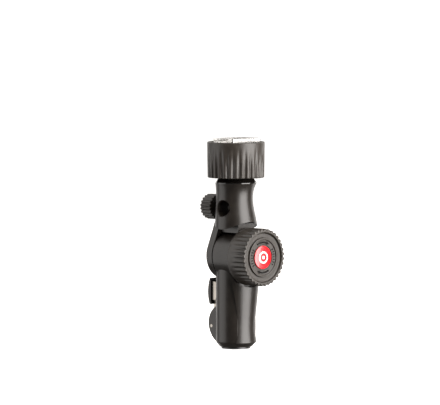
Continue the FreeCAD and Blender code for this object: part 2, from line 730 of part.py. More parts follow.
def round_pin(name, x, z, radius, half):
    body = new_body(name)
    sketch = new_sketch(body, "XZ")
    circle(sketch, x, z, radius)
    pad(body, sketch, half * 2, symmetric=True)
    return body


def lever_spring():
    """A coil of round wire along X between the slot's inner wall and the lever."""
    inset = mm.seat_gap.value + mm.spring_wire.value
    start = -mm.lever_pin_reach.value + mm.lever_thickness.value + inset
    end = -mm.lever_slot_floor.value + 0.4 - inset
    coil = mm.spring_coil.value
    helix = Part.makeHelix((end - start) / mm.spring_turns.value, end - start, coil)
    section = Part.Wire(Part.makeCircle(mm.spring_wire.value, Vector(coil, 0, 0), Vector(0, 1, 0)))
    wire = Part.Wire(helix).makePipeShell([section], True, True)
    feature = doc.addObject("Part::Feature", "lever_spring")
    feature.Label = "lever_spring"
    feature.Shape = wire
    turned = Rotation(Vector(0, 1, 0), 90)
    feature.Placement = Placement(Vector(start, 0, mm.spring_height.value), turned)
    return feature


# ---- upper half: the tilting head ------------------------------------------------------------------

def upper_housing():
    body = new_body("upper_housing")
    sections = []
    for height, radius, shift in (
        (mm.column_bottom, mm.lip_radius, 0),
        (mm.lip_height, mm.lip_radius, 0),
        (mm.waist_height, mm.waist_radius, -mm.waist_shift),
        (mm.column_top, mm.column_radius, 0),
    ):
        sketch = new_sketch(body, "XY", height)
        circle(sketch, shift, 0, radius)
        sections.append(sketch)
    column = body.newObject("PartDesign::AdditiveLoft", "upper_housing_column")
    column.Profile = sections[0]
    column.Sections = sections[1:]
    fit_check(column, True)
    far = mm.column_radius + mm.overrun
    saddle(body, mm.underside_radius, -far, far)
    # root block that fills the middle of the underside down to the barrel
    sketch = new_sketch(body, "YZ", -mm.ear_right)
    root_bottom = mm.pivot_height + mm.shoulder_radius + mm.saddle_clearance
    rectangle(sketch, -mm.root_half, root_bottom, mm.root_half, mm.lip_height)
    pad(body, sketch, mm.ear_right + mm.root_right)
    saddle(body, mm.barrel_radius + mm.saddle_clearance, -mm.ear_right - 1, mm.root_right + 1)
    join(body, ear_plate())
    # bolt hole, hexagon, cap recess and friction disc seat in the ear
    sketch = new_sketch(body, "YZ", -far)
    circle(sketch, 0, mm.pivot_height, mm.bolt_radius + mm.running_gap)
    pocket(body, sketch, far)
    sketch = new_sketch(body, "YZ", -far)
    hexagon(sketch, 0, mm.pivot_height, mm.bolt_flats + mm.seat_gap * 2)
    pocket(body, sketch, far - mm.bolt_head_inner)
    sketch = new_sketch(body, "YZ", -far)
    circle(sketch, 0, mm.pivot_height, mm.cap_radius + mm.seat_gap)
    pocket(body, sketch, far - mm.bolt_head_outer)
    sketch = new_sketch(body, "YZ", -mm.disc_left)
    circle(sketch, 0, mm.pivot_height, mm.disc_radius + mm.seat_gap)
    pocket(body, sketch, mm.disc_left)
    # umbrella bore with its bevels
    sketch = new_sketch(body, "XZ")
    circle(sketch, 0, mm.umbrella_height, mm.umbrella_radius)
    pocket(body, sketch, symmetric=True)
    bore = mm.umbrella_radius.value
    level = mm.umbrella_height.value

    def bore_mouth(edge):
        box = edge.BoundBox
        wide = abs(box.XLength - 2 * bore) < 0.3 and abs(box.ZLength - 2 * bore) < 0.3
        return wide and abs(box.Center.z - level) < 0.3 and abs(box.Center.y) > bore

    soften(body, mm.umbrella_bevel, bore_mouth, "Chamfer")
    # thumb screw's insert and the hole for its tip
    sketch = new_sketch(body, "YZ", -far)
    circle(sketch, 0, mm.umbrella_height, mm.insert_radius)
    pocket(body, sketch, far - mm.insert_inner)
    sketch = new_sketch(body, "YZ", -far)
    circle(sketch, 0, mm.umbrella_height, mm.tip_radius + mm.free_gap)
    pocket(body, sketch, far - mm.umbrella_radius + 1.0)
    # seat of the stem, and its bolt's thread
    sketch = new_sketch(body, "XY", mm.stem_bottom)
    circle(sketch, 0, 0, mm.stem_radius)
    pocket(body, sketch, mm.column_top)
    sketch = new_sketch(body, "XY", mm.stem_bolt_bottom)
    circle(sketch, 0, 0, mm.stem_bolt_radius)
    pocket(body, sketch, mm.column_top)
    return body


def ear_plate():
    """Side plate: a round end about the tilt axis, with two tangent flanks that narrow upwards."""
    body = new_body("ear_plate")
    sketch = new_sketch(body, "YZ", -mm.ear_left)
    radius = mm.ear_radius.value
    pivot = mm.pivot_height.value
    top = mm.ear_top_height.value
    half = mm.ear_top_half.value
    reach = math.hypot(half, top - pivot)
    lean = math.atan2(top - pivot, half) - math.acos(radius / reach)
    touch = Vector(radius * math.cos(lean), pivot + radius * math.sin(lean), 0)
    mirrored = Vector(-touch.x, touch.y, 0)
    round_end = Part.ArcOfCircle(Part.Circle(Vector(0, pivot, 0), Vector(0, 0, 1), radius),
                                 math.pi - lean, 2 * math.pi + lean)
    arc = sketch.addGeometry(round_end, False)
    right = sketch.addGeometry(Part.LineSegment(touch, Vector(half, top, 0)), False)
    lid = sketch.addGeometry(Part.LineSegment(Vector(half, top, 0), Vector(-half, top, 0)), False)
    left = sketch.addGeometry(Part.LineSegment(Vector(-half, top, 0), mirrored), False)
    sketch.addConstraint(Sketcher.Constraint("Tangent", arc, 2, right, 1))
    sketch.addConstraint(Sketcher.Constraint("Coincident", right, 2, lid, 1))
    sketch.addConstraint(Sketcher.Constraint("Coincident", lid, 2, left, 1))
    sketch.addConstraint(Sketcher.Constraint("Tangent", left, 2, arc, 1))
    pin_point(sketch, arc, 3, 0, mm.pivot_height)
    pin_point(sketch, right, 2, mm.ear_top_half, mm.ear_top_height)
    pin_point(sketch, lid, 2, -mm.ear_top_half, mm.ear_top_height)
    number = sketch.addConstraint(Sketcher.Constraint("Radius", arc, radius))
    bind(sketch, f"Constraints[{number}]", mm.ear_radius)
    pad(body, sketch, mm.ear_left - mm.ear_right)
    outer = -mm.ear_left.value
    soften(body, mm.ear_round, lambda edge: edge.BoundBox.XMax < outer + 1e-3)
    return body


def tilt_bolt():
    body = new_body("tilt_bolt")
    sketch = new_sketch(body, "YZ", -mm.bolt_head_outer)
    hexagon(sketch, 0, mm.pivot_height, mm.bolt_flats)
    pad(body, sketch, mm.bolt_head_outer - mm.bolt_head_inner)
    sketch = new_sketch(body, "YZ", -mm.bolt_head_inner - 0.5)
    circle(sketch, 0, mm.pivot_height, mm.bolt_radius)
    pad(body, sketch, mm.bolt_head_inner + mm.bolt_end + 0.5)
    return body


def ear_cap():
    body = new_body("ear_cap", z=mm.pivot_height)
    outer = -mm.ear_left - mm.seat_gap
    seat = -mm.bolt_head_outer - mm.press_gap
    revolve(body, [
        (seat, 0),
        (outer, 0),
        (outer, mm.cap_radius - 0.8),
        (outer + 0.4, mm.cap_radius),
        (seat, mm.cap_radius),
    ], "H_Axis")
    return body


def neck_collar():
    body = new_body("neck_collar")
    inner = mm.stem_radius + mm.running_gap
    foot = mm.column_radius - mm.collar_step
    revolve(body, [
        (inner, mm.column_top),
        (foot, mm.column_top),
        (foot, mm.column_top + 0.6),
        (mm.collar_top_radius, mm.collar_top - 0.6),
        (mm.collar_top_radius - 0.6, mm.collar_top),
        (inner, mm.collar_top),
    ])
    return body


def shoe_stem():
    body = new_body("shoe_stem")
    head_seat = mm.stem_top - mm.stem_bolt_sink
    head_hole = mm.stem_bolt_head + mm.seat_gap
    through = mm.stem_bolt_radius + mm.seat_gap
    revolve(body, [
        (through, mm.stem_bottom),
        (mm.stem_radius, mm.stem_bottom),
        (mm.stem_radius, mm.stem_top),
        (head_hole, mm.stem_top),
        (head_hole, head_seat),
        (through, head_seat),
    ])
    for side in (-1, 1):
        sketch = new_sketch(body, "XY", mm.stem_top)
        circle(sketch, 0, mm.shoe_screw_offset * side, mm.shoe_screw_radius)
        pocket(body, sketch, mm.shoe_screw_length, along=-1)
    return body


def stem_bolt():
    body = new_body("stem_bolt")
    seat = mm.stem_top - mm.stem_bolt_sink
    revolve(body, [
        (0, mm.stem_bolt_bottom),
        (mm.stem_bolt_radius, mm.stem_bolt_bottom),
        (mm.stem_bolt_radius, seat),
        (mm.stem_bolt_head, seat),
        (mm.stem_bolt_head, mm.stem_top - mm.seat_gap),
        (0, mm.stem_top - mm.seat_gap),
    ])
    return body


def shoe_channel():
    body = new_body("shoe_channel")
    sketch = new_sketch(body, "XY", mm.stem_top)
    rectangle(sketch, -mm.channel_half, -mm.channel_front, mm.channel_half, mm.channel_back)
    pad(body, sketch, mm.channel_top - mm.stem_top)
    soften(body, mm.channel_corner, lambda edge: edge.BoundBox.ZLength > 1)
    # foot slot, throat between the lips, tab windows and screw holes
    front = -mm.channel_front - 1
    sketch = new_sketch(body, "XY", mm.slot_floor)
    rectangle(sketch, -mm.slot_half, front, mm.slot_half, mm.channel_back - mm.stop_wall)
    pocket(body, sketch, mm.slot_roof - mm.slot_floor)
    sketch = new_sketch(body, "XY", mm.slot_floor)
    rectangle(sketch, -mm.throat_half, front, mm.throat_half, mm.channel_back - mm.stop_wall)
    pocket(body, sketch, mm.channel_top)
    reach = mm.tab_half + mm.window_margin
    near = mm.tab_near - mm.window_margin
    far = mm.tab_far + mm.window_margin
    for low, high in ((-far, -near), (near, far)):
        sketch = new_sketch(body, "XY", mm.slot_floor)
        rectangle(sketch, -reach, low, reach, high)
        pocket(body, sketch, mm.slot_floor - mm.stem_top, along=-1)
    for side in (-1, 1):
        sketch = new_sketch(body, "XY", mm.slot_floor)
        circle(sketch, 0, mm.shoe_screw_offset * side, mm.shoe_screw_radius)
        pocket(body, sketch, mm.slot_floor - mm.stem_top, along=-1)
        sketch = new_sketch(body, "XY", mm.slot_floor)
        circle(sketch, 0, mm.shoe_screw_offset * side, mm.shoe_screw_head)
        pocket(body, sketch, mm.shoe_screw_sink, along=-1)
    return body


def shoe_screws():
    """Two countersunk screws in one node, each its own solid."""
    screws = []
    for side, name in ((-1, "front_screw"), (1, "back_screw")):
        screw = new_body(name)
        screw.Placement = Placement(Vector(0, side * mm.shoe_screw_offset.value, 0), Rotation())
        bind(screw, ".Placement.Base.y", mm.shoe_screw_offset * side)
        bottom = mm.stem_top - mm.shoe_screw_length
        seat = mm.slot_floor - mm.shoe_screw_sink
        top = mm.slot_floor - mm.running_gap
        revolve(screw, [
            (0, bottom),
            (mm.shoe_screw_radius, bottom),
            (mm.shoe_screw_radius, seat),
            (mm.shoe_screw_head, seat),
            (mm.shoe_screw_head, top),
            (0, top),
        ])
        screws.append(screw)
    group = doc.addObject("Part::Compound", "shoe_screws")
    group.Label = "shoe_screws"
    group.Links = screws
    return group


def foot_clamp_plate():
    bottom = mm.ring_web_top + mm.plate_gap
    top = bottom + mm.plate_thickness
    body = tube("foot_clamp_plate", mm.stem_radius + mm.free_gap, mm.plate_radius, bottom, top)
    for low, high in ((-mm.tab_far, -mm.tab_near), (mm.tab_near, mm.tab_far)):
        sketch = new_sketch(body, "XY", bottom)
        rectangle(sketch, -mm.tab_half, low, mm.tab_half, high)
        pad(body, sketch, mm.slot_floor - mm.seat_gap - bottom)
    return body


def lock_ring():
    body = new_body("lock_ring")
    edge = mm.ring_edge
    low, high = mm.ring_low_radius, mm.ring_high_radius
    inner = high - mm.ring_wall
    revolve(body, [
        (inner, mm.ring_bottom),
        (low - edge, mm.ring_bottom, edge, 1),
        (low, mm.ring_bottom + edge),
        (high, mm.ring_top - edge, edge, 1),
        (high - edge, mm.ring_top),
        (inner, mm.ring_top),
        (inner, mm.ring_web_top),
        (mm.ring_nut_radius, mm.ring_web_top),
        (mm.ring_nut_radius, mm.ring_hub_bottom),
        (mm.ring_hub_radius, mm.ring_hub_bottom),
        (mm.ring_hub_radius, mm.ring_web_bottom),
        (inner - 0.4, mm.ring_web_bottom),
    ])
    sketch = new_sketch(body, "XY", mm.ring_bottom)
    circle(sketch, 0, low + mm.ring_flute_radius - mm.ring_flute_depth, mm.ring_flute_radius)
    flute = pocket(body, sketch, mm.ring_flute_length, taper=-mm.ring_flute_taper)
    round_pattern(body, flute, sketch, mm.ring_flutes)
    return body


def tilt_knob():
    body = new_body("tilt_knob", z=mm.pivot_height)
    edge = mm.knob_edge
    radius = mm.knob_radius
    inner = radius - mm.knob_wall
    back = mm.knob_back
    hub_back = mm.washer_right + mm.running_gap
    mouth = hub_back - 1
    face_hole = mm.face_radius + mm.seat_gap
    revolve(body, [
        (back, inner),
        (back, radius - edge - 0.4, edge, -1),
        (back + edge, radius - 0.4),
        (back + mm.knob_band, radius),
        (mm.knob_front - edge, radius, edge, -1),
        (mm.knob_front, radius - edge),
        (mm.knob_front, mm.knob_rim_inner + 0.3),
        (mm.knob_shelf, mm.knob_rim_inner - 0.4),
        (mm.knob_shelf, face_hole),
        (mm.knob_seat, face_hole),
        (mm.knob_seat, 0),
        (hub_back, 0),
        (hub_back, mm.knob_hub_radius),
        (mm.knob_web, mm.knob_hub_radius),
        (mm.knob_web, inner),
    ], "H_Axis")
    sketch = new_sketch(body, "YZ", mouth)
    circle(sketch, 0, 0, mm.bolt_radius + mm.free_gap)
    pocket(body, sketch, mm.bolt_end + mm.bolt_room - mouth)
    sketch = new_sketch(body, "YZ", mouth)
    hexagon(sketch, 0, 0, mm.bolt_flats)
    pocket(body, sketch, mm.nut_end - mouth)
    sketch = new_sketch(body, "YZ", mm.knob_front)
    circle(sketch, 0, radius + mm.knob_flute_radius - mm.knob_flute_depth, mm.knob_flute_radius)
    flute = pocket(body, sketch, mm.knob_front - back - mm.knob_band, along=-1,
                   taper=-mm.knob_flute_taper)
    round_pattern(body, flute, sketch, mm.knob_flutes)
    return body


def knob_nut_insert():
    body = new_body("knob_nut_insert")
    start = mm.washer_right + mm.seat_gap
    sketch = new_sketch(body, "YZ", start)
    hexagon(sketch, 0, mm.pivot_height, mm.bolt_flats - mm.press_gap * 2)
    pad(body, sketch, mm.nut_end - start)
    sketch = new_sketch(body, "YZ", start)
    circle(sketch, 0, mm.pivot_height, mm.bolt_radius + mm.running_gap)
    pocket(body, sketch)
    return body


def knob_face_plate():
    body = new_body("knob_face_plate", z=mm.pivot_height)
    revolve(body, [
        (mm.knob_seat, 0),
        (mm.knob_seat, mm.face_radius),
        (mm.bezel_top - 0.4, mm.face_radius),
        (mm.bezel_top, mm.face_radius - 0.4),
        (mm.bezel_top, mm.bezel_inner + 0.4),
        (mm.dial_top, mm.bezel_inner),
        (mm.dial_top, mm.badge_groove),
        (mm.badge_seat, mm.badge_groove),
        (mm.badge_seat, 0),
    ], "H_Axis")
    return body


def knob_badge():
    body = new_body("knob_badge", z=mm.pivot_height)
    sag = Size(mm.badge_radius.value ** 2 / (2 * mm.badge_bow.value),
               "(Sizes.badge_radius * Sizes.badge_radius / (2 * Sizes.badge_bow))")
    revolve(body, [
        (mm.badge_seat, 0),
        (mm.badge_seat, mm.badge_radius),
        (mm.badge_edge_top, mm.badge_radius, mm.badge_bow, -1),
        (mm.badge_edge_top + sag, 0),
    ], "H_Axis")
    return body


def thumb_screw_head():
    body = new_body("thumb_screw_head", z=mm.umbrella_height)
    outer, inner = -mm.thumb_outer, -mm.thumb_inner
    radius, dish, bevel = mm.thumb_radius, mm.thumb_dish_radius, mm.thumb_edge
    revolve(body, [
        (outer + 0.5, 0),
        (outer + 0.5, dish - 0.6),
        (outer, dish),
        (outer, radius - bevel),
        (outer + bevel, radius),
        (inner - bevel, radius),
        (inner, radius - bevel),
        (inner, dish),
        (inner - mm.thumb_dish, dish - 0.6),
        (inner - mm.thumb_dish, mm.stud_radius),
        (inner - mm.stud_seat, mm.stud_radius),
        (inner - mm.stud_seat, 0),
    ], "H_Axis")
    sketch = new_sketch(body, "YZ", outer - 1)
    circle(sketch, 0, radius + mm.thumb_flute_radius - mm.thumb_flute_depth, mm.thumb_flute_radius)
    flute = pocket(body, sketch, mm.thumb_outer - mm.thumb_inner + 2)
    round_pattern(body, flute, sketch, mm.thumb_teeth)
    return body


def shaft(name, radius, start, end, z):
    """A plain round bar along X."""
    body = new_body(name, z=z)
    revolve(body, [(start, 0), (start, radius), (end, radius), (end, 0)], "H_Axis")
    return body


def all_parts():
    fit = mm.running_gap
    turning = "H_Axis"
    pivot = mm.pivot_height
    cross = mm.umbrella_height
    return [
        lower_housing(),
        grip_cover(),
        socket_sleeve(),
        round_pin("lever_pivot_pin", -mm.lever_pin_reach, mm.lever_pin_height, mm.lever_pin_radius,
                  mm.boss_half),
        lever_spring(),
        tube("barrel_bush", mm.bolt_radius + fit, mm.bush_radius, -mm.barrel_left + mm.bush_inset,
             mm.barrel_right - mm.bush_inset, turning, pivot),
        lever_arm(),
        lever_pad(),
        latch_shoe(),
        upper_housing(),
        ear_cap(),
        tilt_bolt(),
        tube("friction_disc", mm.bolt_radius + mm.free_gap, mm.disc_radius, -mm.disc_left, -mm.disc_right,
             turning, pivot),
        tube("screw_insert", mm.stud_radius + fit, mm.insert_radius, -mm.insert_outer,
             -mm.insert_inner, turning, cross),
        neck_collar(),
        shoe_stem(),
        stem_bolt(),
        shoe_channel(),
        shoe_screws(),
        shaft("clamp_tip", mm.tip_radius, -mm.stud_tip, -mm.umbrella_radius - mm.tip_inset, cross),
        thumb_screw_head(),
        shaft("thumb_screw_stud", mm.stud_radius, -mm.thumb_inner - mm.stud_seat, -mm.stud_tip, cross),
        foot_clamp_plate(),
        lock_ring(),
        tube("ring_nut_insert", mm.stem_radius + fit, mm.ring_nut_radius, mm.ring_hub_bottom,
             mm.ring_web_top),
        tube("thrust_washer", mm.bolt_radius + mm.seat_gap, mm.washer_radius, mm.washer_left,
             mm.washer_right, turning, pivot),
        tilt_knob(),
        knob_nut_insert(),
        knob_face_plate(),
        knob_badge(),
    ]


parts = all_parts()
doc.recompute()
for item in doc.Objects:
    if "Invalid" in item.State or "Error" in item.State:
        raise ValueError(f"{item.Label} did not build: {item.State}")
for part in parts:
    if part.Shape.isNull() or not part.Shape.isValid() or not part.Shape.Solids:
        raise ValueError(f"{part.Label} is not a sound solid")
os.makedirs("parts", exist_ok=True)
for part in parts:
    part.Shape.exportStep(f"parts/{part.Label}.step")
    print(f"{part.Label}: {len(part.Shape.Solids)} solid, {part.Shape.Volume:.1f} mm3")
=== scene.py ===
import json
import math

import bmesh
import bpy
import numpy as np
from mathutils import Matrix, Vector


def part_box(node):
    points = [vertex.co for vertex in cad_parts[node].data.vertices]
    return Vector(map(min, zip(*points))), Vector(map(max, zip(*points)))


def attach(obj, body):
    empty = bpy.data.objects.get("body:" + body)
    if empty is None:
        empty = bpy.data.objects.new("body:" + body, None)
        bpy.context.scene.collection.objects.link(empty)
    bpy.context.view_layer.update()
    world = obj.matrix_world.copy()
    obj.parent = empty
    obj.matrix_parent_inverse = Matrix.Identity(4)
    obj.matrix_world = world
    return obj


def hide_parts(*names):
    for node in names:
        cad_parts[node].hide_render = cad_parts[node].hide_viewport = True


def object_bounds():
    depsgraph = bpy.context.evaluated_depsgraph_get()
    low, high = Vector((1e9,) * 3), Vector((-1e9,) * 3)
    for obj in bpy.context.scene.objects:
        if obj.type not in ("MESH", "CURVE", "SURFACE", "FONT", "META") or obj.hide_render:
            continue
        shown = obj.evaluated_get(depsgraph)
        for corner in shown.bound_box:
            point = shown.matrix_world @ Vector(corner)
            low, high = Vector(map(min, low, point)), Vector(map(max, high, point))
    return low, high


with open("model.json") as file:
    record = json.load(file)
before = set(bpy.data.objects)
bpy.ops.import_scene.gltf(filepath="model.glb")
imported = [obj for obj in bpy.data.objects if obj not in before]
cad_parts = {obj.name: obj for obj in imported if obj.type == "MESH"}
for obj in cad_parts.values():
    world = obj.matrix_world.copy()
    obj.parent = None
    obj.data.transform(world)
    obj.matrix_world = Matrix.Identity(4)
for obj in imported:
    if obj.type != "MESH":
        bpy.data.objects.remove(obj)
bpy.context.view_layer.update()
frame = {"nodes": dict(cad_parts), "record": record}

nodes = frame["nodes"]
print("loaded", len(nodes), "nodes")

mm = 0.001


# Low and high corner of a node in millimetres.
def nodeSize(name):
    low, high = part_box(name)
    return np.array(low) / mm, np.array(high) / mm


# sRGB hex to linear RGBA.
def toLinear(hexColour):
    parts = [int(hexColour[i:i + 2], 16) / 255 for i in (1, 3, 5)]
    return [p / 12.92 if p <= 0.04045 else ((p + 0.055) / 1.055) ** 2.4 for p in parts] + [1.0]


# Adds one shader node; inputs are its socket values, links its incoming sockets.
def addNode(tree, kind, inputs=None, links=None):
    node = tree.nodes.new(kind)
    for key, value in (inputs or {}).items():
        node.inputs[key].default_value = value
    for key, source in (links or {}).items():
        tree.links.new(source, node.inputs[key])
    return node


# A colour ramp through (place, linear colour) stops.
def rampNode(tree, source, stops):
    ramp = addNode(tree, "ShaderNodeValToRGB", links={"Fac": source})
    elements = ramp.color_ramp.elements
    while len(elements) < len(stops):
        elements.new(0.5)
    for element, (place, colour) in zip(elements, stops):
        element.position = place
        element.color = colour
    return ramp


pattern = {
    "mottleDetail": 3.0,
    "mottleRoughness": 0.55,
    "grainDetail": 2.0,
    "grainRoughness": 0.6,
    "low": 0.3,               # noise values that show the darker and the lighter shade
    "high": 0.7,
    "coatRoughness": 0.05,
}


# One surface: base colour mottled between two shades, fine grain as bump, and uneven gloss. Grain and
# mottle sizes are in millimetres; stretch squeezes the pattern along X, Y and Z, so that large numbers
# across a direction draw brushing lines along the other one.
def makeMaterial(name, look):
    material = bpy.data.materials.new(name)
    material.use_nodes = True
    tree = material.node_tree
    tree.nodes.clear()
    output = addNode(tree, "ShaderNodeOutputMaterial")
    shader = addNode(tree, "ShaderNodeBsdfPrincipled", inputs={
        "Metallic": look.get("metallic", 0.0),
        "Coat Weight": look.get("coat", 0.0),
        "Coat Roughness": pattern["coatRoughness"],
    })
    place = addNode(tree, "ShaderNodeTexCoord").outputs["Object"]
    scaled = addNode(tree, "ShaderNodeMapping", inputs={"Scale": look.get("stretch", (1, 1, 1))},
                     links={"Vector": place}).outputs["Vector"]
    mottle = addNode(tree, "ShaderNodeTexNoise", inputs={
        "Scale": 1 / (look["mottle"] * mm), "Detail": pattern["mottleDetail"],
        "Roughness": pattern["mottleRoughness"]}, links={"Vector": scaled})
    grain = addNode(tree, "ShaderNodeTexNoise", inputs={
        "Scale": 1 / (look["grain"] * mm), "Detail": pattern["grainDetail"],
        "Roughness": pattern["grainRoughness"]}, links={"Vector": scaled})
    shades = rampNode(tree, mottle.outputs["Fac"], [
        (pattern["low"], toLinear(look["dark"])), (pattern["high"], toLinear(look["light"]))])
    gloss = addNode(tree, "ShaderNodeMapRange", inputs={
        "From Min": pattern["low"], "From Max": pattern["high"],
        "To Min": look["roughness"] - look["unevenGloss"],
        "To Max": look["roughness"] + look["unevenGloss"]}, links={"Value": mottle.outputs["Fac"]})
    bump = addNode(tree, "ShaderNodeBump", inputs={
        "Strength": look["bump"], "Distance": look["depth"] * mm}, links={"Height": grain.outputs["Fac"]})
    tree.links.new(shades.outputs["Color"], shader.inputs["Base Color"])
    tree.links.new(gloss.outputs["Result"], shader.inputs["Roughness"])
    tree.links.new(bump.outputs["Normal"], shader.inputs["Normal"])
    tree.links.new(shader.outputs["BSDF"], output.inputs["Surface"])
    return material


looks = {
    # glass-filled nylon, spark-eroded mould: near black, warm, soft sheen with a fine pebble
    "mouldedNylonSatin": {"dark": "#171310", "light": "#1e1a16", "roughness": 0.33, "unevenGloss": 0.03,
                          "mottle": 5.0, "grain": 0.55, "bump": 0.22, "depth": 0.05},
    # same nylon on the knobs, coarser pebble: greyer and flatter
    "mouldedNylonMatte": {"dark": "#26221e", "light": "#302b26", "roughness": 0.4, "unevenGloss": 0.05,
                          "mottle": 3.5, "grain": 0.6, "bump": 0.3, "depth": 0.06},
    # smooth-moulded nylon of the thumb pad and caps
    "mouldedNylonPad": {"dark": "#1b1917", "light": "#211f1d", "roughness": 0.42, "unevenGloss": 0.03,
                        "mottle": 4.0, "grain": 0.5, "bump": 0.2, "depth": 0.04},
    # turned acetal, polished: black with a sharp glint
    "polishedAcetalBlack": {"dark": "#0d0b0a", "light": "#12100e", "roughness": 0.14, "unevenGloss": 0.02,
                            "mottle": 6.0, "grain": 0.8, "bump": 0.04, "depth": 0.02, "coat": 0.4},
    # zinc-plated pressed steel: bright, faint drawing lines along Z
    "zincPlatedSteel": {"dark": "#928d86", "light": "#a8a39b", "metallic": 1.0, "roughness": 0.3,
                        "unevenGloss": 0.05, "mottle": 2.5, "grain": 0.5, "bump": 0.12, "depth": 0.02,
                        "stretch": (3, 3, 0.35)},
    # satin machined aluminium: cutter lines along Y
    "machinedAluminium": {"dark": "#c9c8c6", "light": "#dbdad8", "metallic": 1.0, "roughness": 0.27,
                          "unevenGloss": 0.05, "mottle": 2.0, "grain": 0.4, "bump": 0.15, "depth": 0.02,
                          "stretch": (4, 0.3, 4)},
    # hard-anodised aluminium: dark grey, even
    "hardAnodisedAluminium": {"dark": "#3a3a3b", "light": "#474748", "metallic": 0.9, "roughness": 0.38,
                              "unevenGloss": 0.04, "mottle": 4.0, "grain": 0.4, "bump": 0.1, "depth": 0.02},
    # free-machining brass: warm yellow with turning marks
    "machinedBrass": {"dark": "#b08d46", "light": "#c7a45c", "metallic": 1.0, "roughness": 0.28,
                      "unevenGloss": 0.05, "mottle": 2.5, "grain": 0.4, "bump": 0.12, "depth": 0.02},
    # resin-bonded friction fibre: brown black, open grain
    "frictionFibre": {"dark": "#2a221b", "light": "#43382e", "roughness": 0.8, "unevenGloss": 0.08,
                      "mottle": 1.2, "grain": 0.5, "bump": 0.5, "depth": 0.08},
    # natural acetal: milky white bearing plastic
    "naturalAcetal": {"dark": "#cfccc2", "light": "#dedbd2", "roughness": 0.35, "unevenGloss": 0.04,
                      "mottle": 5.0, "grain": 0.6, "bump": 0.08, "depth": 0.02},
    # domed polyurethane label: clear gloss over red ink
    "redResinDome": {"dark": "#b8131c", "light": "#c41a22", "roughness": 0.22, "unevenGloss": 0.02,
                     "mottle": 6.0, "grain": 1.0, "bump": 0.03, "depth": 0.02, "coat": 0.6},
    # white ink under the same dome
    "whitePrint": {"dark": "#e6e2de", "light": "#f2efec", "roughness": 0.3, "unevenGloss": 0.03,
                   "mottle": 3.0, "grain": 0.8, "bump": 0.03, "depth": 0.02, "coat": 0.4},
}
materials = {name: makeMaterial(name, look) for name, look in looks.items()}
slotMaterial = {
    "body_polymer": "mouldedNylonSatin", "grip_polymer": "mouldedNylonSatin",
    "knob_polymer": "mouldedNylonMatte", "collar_black": "polishedAcetalBlack",
    "pad_black": "mouldedNylonPad", "lever_steel": "zincPlatedSteel", "bolt_steel": "zincPlatedSteel",
    "socket_alloy": "hardAnodisedAluminium", "shoe_alloy": "machinedAluminium", "brass": "machinedBrass",
    "friction_fibre": "frictionFibre", "bearing_plastic": "naturalAcetal", "badge_red": "redResinDome",
}
for part in frame["record"]["subparts"]:
    shown = nodes[part["node"]]
    shown.data.materials.clear()
    shown.data.materials.append(materials[slotMaterial[part["material_slot"]]])
print("materials", len(materials))

edges = {
    "rounding": 0.3,     # millimetres, on sharp moulded edges
    "sharp": 42.0,       # degrees
}
for name in ("lower_housing", "grip_cover", "upper_housing"):
    bevel = nodes[name].modifiers.new("edgeRounding", "BEVEL")
    bevel.width = edges["rounding"] * mm
    bevel.segments = 2
    bevel.limit_method = "ANGLE"
    bevel.angle_limit = math.radians(edges["sharp"])
    bevel.use_clamp_overlap = True
    bevel.harden_normals = False


# 0 below low, 1 above high, and an S-curve between.
def smoothStep(low, high, value):
    t = np.clip((value - low) / (high - low), 0, 1)
    return t * t * (3 - 2 * t)


arcPoints = 7
longestShare = 0.49      # a rounding takes at most this share of the shorter side
weldReach = 1e-7


# Corners are (along, radius, rounding). Each corner becomes an arc that touches both its sides at
# rounding / tan(half the corner's angle) from it, and straight runs are divided at step.
def roundedOutline(corners, closed, step):
    spots = np.array([c[:2] for c in corners], float)
    count = len(corners)
    line = []
    for i, corner in enumerate(corners):
        here = spots[i]
        if corner[2] == 0 or (not closed and i in (0, count - 1)):
            line.append(here[None])
            continue
        back = spots[i - 1] - here
        ahead = spots[(i + 1) % count] - here
        backLength, aheadLength = np.linalg.norm(back), np.linalg.norm(ahead)
        back, ahead = back / backLength, ahead / aheadLength
        half = math.acos(np.clip(back @ ahead, -1, 1)) / 2
        reach = min(corner[2] / math.tan(half), longestShare * min(backLength, aheadLength))
        radius = reach * math.tan(half)
        middle = (back + ahead) / np.linalg.norm(back + ahead)
        centre = here + middle * radius / math.sin(half)
        start, end = here + back * reach - centre, here + ahead * reach - centre
        swing = math.atan2(start[0] * end[1] - start[1] * end[0], start @ end)
        turn = np.linspace(0, swing, arcPoints)[:, None]
        side = np.array([-start[1], start[0]])
        line.append(centre + np.cos(turn) * start + np.sin(turn) * side)
    line = np.concatenate(line)
    following = np.roll(line, -1, axis=0) if closed else line[1:]
    runs = []
    for start, end in zip(line[:len(following)], following):
        pieces = max(1, int(np.linalg.norm(end - start) / step))
        share = np.arange(pieces)[:, None] / pieces
        runs.append(start + (end - start) * share)
    if not closed:
        runs.append(line[-1:])
    return np.concatenate(runs)


# A mesh object at the origin from points in millimetres and a list of face arrays.
def makeObject(name, points, faces, material, smooth=True):
    mesh = bpy.data.meshes.new(name)
    mesh.from_pydata((points * mm).tolist(), [], [f for group in faces for f in group.tolist()])
    build = bmesh.new()
    build.from_mesh(mesh)
    bmesh.ops.remove_doubles(build, verts=build.verts, dist=weldReach)
    bmesh.ops.recalc_face_normals(build, faces=build.faces)
    build.to_mesh(mesh)
    build.free()
    mesh.polygons.foreach_set("use_smooth", np.full(len(mesh.polygons), smooth))
    mesh.materials.append(materials[material])
    made = bpy.data.objects.new(name, mesh)
    bpy.context.scene.collection.objects.link(made)
    return made


